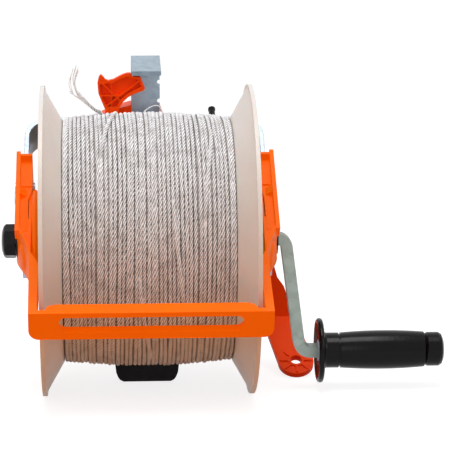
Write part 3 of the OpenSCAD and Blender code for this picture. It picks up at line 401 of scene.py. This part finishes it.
def moulded_plastic(name, light, dark, rough, grain, **constants):
    """Injection-moulded thermoplastic: slow colour drift from the melt, and the tool's fine sparked grain."""
    made, tree, shader, place, _ = finish(name, **constants)
    drift = add(tree, "TexNoise", {"Vector": place, "Scale": per_mm(70), "Detail": 3.0})
    tree.links.new(ramp(tree, drift.outputs["Fac"], [(0.3, dark), (0.7, light)]), shader.inputs["Base Color"])
    scuff = add(tree, "TexNoise", {"Vector": place, "Scale": per_mm(9), "Detail": 6.0, "Roughness": 0.7})
    level = add(tree, "MapRange", {"Value": scuff.outputs["Fac"], "From Min": 0.3, "From Max": 0.7,
                                   "To Min": rough - 0.07, "To Max": rough + 0.09})
    tree.links.new(level.outputs["Result"], shader.inputs["Roughness"])
    spark = add(tree, "TexNoise", {"Vector": place, "Scale": per_mm(grain), "Detail": 2.0})
    bump = add(tree, "Bump", {"Height": spark.outputs["Fac"], "Strength": 0.12, "Distance": 0.00012})
    tree.links.new(bump.outputs["Normal"], shader.inputs["Normal"])
    return made


# Polypropylene, moulded: satin, deep where it is thin against the light, with a painted glow: its emission makes it
# brighter than the lamps alone light it
orange = moulded_plastic("orange_polypropylene", "#f86200", "#f35a00", 0.4, 0.9, **{
    "IOR": 1.49, "Specular IOR Level": 0.1, "Subsurface Weight": 0.15, "Subsurface Radius": (1.0, 0.2, 0.02),
    "Subsurface Scale": 0.003, "Emission Color": linear("#ff8600"), "Emission Strength": 0.2})
# The same orange made redder for the saddles, the leg and the latch: painted shade, for parts that lie in shade
# among orange surfaces
shaded_orange = moulded_plastic("orange_painted_shade", "#ff4a00", "#f94100", 0.4, 0.9, **{
    "IOR": 1.53, "Specular IOR Level": 0.07})
# Natural polypropylene: milky, lets some light through
natural = moulded_plastic("natural_polypropylene", "#e6e0da", "#dcd5cd", 0.42, 1.4, **{
    "IOR": 1.49, "Subsurface Weight": 0.35, "Subsurface Scale": 0.004})
# Glass-filled nylon, moulded and polished: black with a sharp highlight
black = moulded_plastic("black_nylon", "#060505", "#030303", 0.2, 2.0, **{"IOR": 1.53, "Specular IOR Level": 0.14})
# Moulded rubber: dull black
rubber = moulded_plastic("black_rubber", "#0c0a09", "#070605", 0.7, 0.7, **{"IOR": 1.52, "Specular IOR Level": 0.2})
# Pressed fibre lining: brown and dull
lining = moulded_plastic("fibre_lining", "#7d6a54", "#65543f", 0.85, 0.6)


def galvanised(name, light, dark, rough):
    """Hot-dip zinc on steel: crystals a few millimetres across, each with its own tone and gloss."""
    made, tree, shader, place, _ = finish(name, Metallic=1.0)
    warp = add(tree, "TexNoise", {"Vector": place, "Scale": per_mm(6), "Detail": 2.0})
    bent = add(tree, "Mix", {0: 0.004, 4: place, 5: warp.outputs["Color"]}, data_type="VECTOR")
    spangle = add(tree, "TexVoronoi", {"Vector": bent.outputs[1], "Scale": per_mm(5)})
    tone = add(tree, "SeparateColor", {"Color": spangle.outputs["Color"]})
    tree.links.new(ramp(tree, tone.outputs[0], [(0.0, dark), (1.0, light)]), shader.inputs["Base Color"])
    level = add(tree, "MapRange", {"Value": tone.outputs[1], "To Min": rough - 0.08, "To Max": rough + 0.1})
    tree.links.new(level.outputs["Result"], shader.inputs["Roughness"])
    grit = add(tree, "TexNoise", {"Vector": place, "Scale": per_mm(1.2), "Detail": 4.0})
    bump = add(tree, "Bump", {"Height": grit.outputs["Fac"], "Strength": 0.2, "Distance": 0.0001})
    tree.links.new(bump.outputs["Normal"], shader.inputs["Normal"])
    return made


zinc = galvanised("galvanised_steel", "#b3bfcb", "#a3afbb", 0.45)
strap_zinc = galvanised("galvanised_strap", "#a9bbc8", "#98aab7", 0.36)
crank_zinc = galvanised("galvanised_crank", "#98a39c", "#8f9a93", 0.48)
brass = galvanised("turned_brass", "#d9bd74", "#c3a55b", 0.3)


def twisted_line():
    """Polyethylene strands laid with fine bare wires: white, with a grey wire in the groove beside each strand.

    U counts strands, so the wires and the filaments follow the twist; V runs along the line in millimetres.
    """
    made, tree, shader, place, uv = finish("twisted_polywire", Roughness=0.55, IOR=1.5)
    split = add(tree, "SeparateXYZ", {"Vector": uv})
    strand = add(tree, "Math", {0: split.outputs[0]}, operation="FRACT")
    groove = add(tree, "Math", {0: strand.outputs[0], 1: 0.5}, operation="SUBTRACT")
    depth = add(tree, "Math", {0: groove.outputs[0]}, operation="ABSOLUTE")
    shade = ramp(tree, depth.outputs[0], [(0.0, "#7b7774"), (0.1, "#b0acaa"), (0.24, "#f4f4f7"), (0.5, "#fdfdff")])
    # Filaments are 0.2 mm across and are drawn about twice as coarse, so that they show
    fine = add(tree, "CombineXYZ", {"X": split.outputs[0], "Y": 0.0, "Z": 0.0})
    thread = add(tree, "TexNoise", {"Vector": fine.outputs[0], "Scale": 9.0, "Detail": 2.0})
    soil = add(tree, "TexNoise", {"Vector": place, "Scale": per_mm(7), "Detail": 4.0})
    tint = ramp(tree, soil.outputs["Fac"], [(0.32, "#dfdcda"), (0.55, "#ffffff")])
    mixed = add(tree, "Mix", {0: 1.0, 6: shade, 7: tint}, data_type="RGBA", blend_type="MULTIPLY")
    # Painted shade: the line is darkened where its turns meet and sink into the pack, from the crest attribute
    proud = add(tree, "Attribute", attribute_name="crest")
    gap_shade = ramp(tree, proud.outputs["Fac"], [(0.5, "#a0968d"), (0.62, "#e8e5e2"), (0.74, "#ffffff")])
    gap_shaded = add(tree, "Mix", {0: 1.0, 6: mixed.outputs[2], 7: gap_shade}, data_type="RGBA", blend_type="MULTIPLY")
    tree.links.new(gap_shaded.outputs[2], shader.inputs["Base Color"])
    bump = add(tree, "Bump", {"Height": thread.outputs["Fac"], "Strength": 0.5, "Distance": 0.0003})
    tree.links.new(bump.outputs["Normal"], shader.inputs["Normal"])
    return made


polywire = twisted_line()
for obj in winding + [bed, tail, tail_fray]:
    obj.data.materials.append(polywire)
for obj in covers:
    obj.data.materials.append(orange)

coats = {
    orange: ["brake_disc", "frame_moulding"],
    # The saddles, the leg and the latch take the redder orange with painted shade
    shaded_orange: ["saddle_front", "saddle_back", "outrigger_leg", "latch_lever"],
    natural: ["left_drum_half", "right_drum_half"],
    strap_zinc: ["hanger_strap"],
    zinc: ["steel_bow", "axle", "drum_tie_bolts", "hub_screws", "grip_washer", "grip_clip", "bow_rivets",
           "strap_bolts", "leg_bolt", "leg_nut", "latch_pin", "latch_spring"],
    crank_zinc: ["crank_arm"],
    black: ["grip_sleeve", "grip_cap", "brake_knob", "drive_hub", "left_bush", "right_bush", "line_peg"],
    rubber: ["rubber_foot"],
    lining: ["friction_washer"],
    brass: ["knob_insert"],
    polywire: ["line_core", "line_winding", "line_tail"],
}
for coat, names in coats.items():
    for name in names:
        nodes[name].data.materials.clear()
        nodes[name].data.materials.append(coat)


def round_edges(node, width):
    """Breaks a moulded or sheared node's sharp edges by a small radius, by modifiers only."""
    weld = node.modifiers.new("weld", "WELD")
    weld.merge_threshold = 0.00001
    bevel = node.modifiers.new("edge", "BEVEL")
    bevel.width = width * MM
    bevel.segments = 2
    bevel.limit_method = "ANGLE"
    bevel.angle_limit = math.radians(38)
    bevel.harden_normals = False


EDGES = {
    "frame_moulding": 0.7, "steel_bow": 0.5, "hanger_strap": 1.0, "crank_arm": 1.0, "saddle_front": 0.6,
    "saddle_back": 0.6, "outrigger_leg": 0.8, "rubber_foot": 0.8, "latch_lever": 0.6, "brake_disc": 0.5,
}
for name, width in EDGES.items():
    round_edges(nodes[name], width)


# Studio: pale floor, white surround, a wide lamp above, and weaker ones in front and at each side
def seen_rays(tree):
    """1 for the rays that show a surface as it is seen: from the camera, in a reflection or through glass."""
    rays = add(tree, "LightPath").outputs
    seen = add(tree, "Math", {0: rays["Is Camera Ray"], 1: rays["Is Glossy Ray"]}, operation="MAXIMUM")
    seen = add(tree, "Math", {0: seen.outputs[0], 1: rays["Is Transmission Ray"]}, operation="MAXIMUM")
    return seen.outputs[0]


floor_mesh = bpy.data.meshes.new("floor")
floor_mesh.from_pydata([(-6, -6, 0), (6, -6, 0), (6, 6, 0), (-6, 6, 0)], [], [(0, 1, 2, 3)])
floor = bpy.data.objects.new("floor", floor_mesh)
bpy.context.scene.collection.objects.link(floor)
paper, tree, shader, place, _ = finish("pale_paper", **{"Roughness": 0.9, "Emission Color": (1, 1, 1, 1)})
fibre = add(tree, "TexNoise", {"Vector": place, "Scale": per_mm(4), "Detail": 3.0})
seen = seen_rays(tree)
pale = ramp(tree, fibre.outputs["Fac"], [(0.3, "#979797"), (0.7, "#9d9d9d")])
bounce = add(tree, "Mix", {0: seen, 6: linear("#c8843f"), 7: pale}, data_type="RGBA")
tree.links.new(bounce.outputs[2], shader.inputs["Base Color"])
glow = add(tree, "Math", {0: seen, 1: 0.82}, operation="MULTIPLY")
tree.links.new(glow.outputs[0], shader.inputs["Emission Strength"])
floor.data.materials.append(paper)

world = bpy.data.worlds.new("studio")
bpy.context.scene.world = world
world.use_nodes = True
tree = world.node_tree
tree.nodes.clear()
seen = seen_rays(tree)
height = add(tree, "SeparateXYZ", {"Vector": add(tree, "TexCoord").outputs["Generated"]})
sky = ramp(tree, height.outputs[2], [(0.0, "#bca793"), (0.35, "#d4ceca"), (0.9, "#fbfcff")])
fill = add(tree, "Background", {"Color": sky, "Strength": 0.5})
white = add(tree, "Background", {"Color": (1, 1, 1, 1), "Strength": 1.0})
both = add(tree, "MixShader", {0: seen, 1: fill.outputs[0], 2: white.outputs[0]})
add(tree, "OutputWorld", {"Surface": both.outputs[0]})


REEL_MIDDLE = Vector((0, 0, 0.12))


def softbox(name, place, size, power):
    """Square area lamp that faces the reel's middle."""
    lamp = bpy.data.lights.new(name, "AREA")
    lamp.size = size
    lamp.energy = power
    obj = bpy.data.objects.new(name, lamp)
    obj.location = place
    obj.rotation_euler = (REEL_MIDDLE - Vector(place)).to_track_quat("-Z", "Y").to_euler()
    bpy.context.scene.collection.objects.link(obj)


softbox("top_lamp", (0.0, -0.3, 1.7), 0.9, 15.5)
softbox("front_lamp", (-0.3, -1.9, 0.8), 1.0, 4)
softbox("left_lamp", (-1.5, -1.1, 0.9), 0.9, 3.6)
softbox("right_lamp", (1.6, -1.0, 1.0), 0.9, 3.6)

bpy.context.scene.view_settings.view_transform = "Standard"
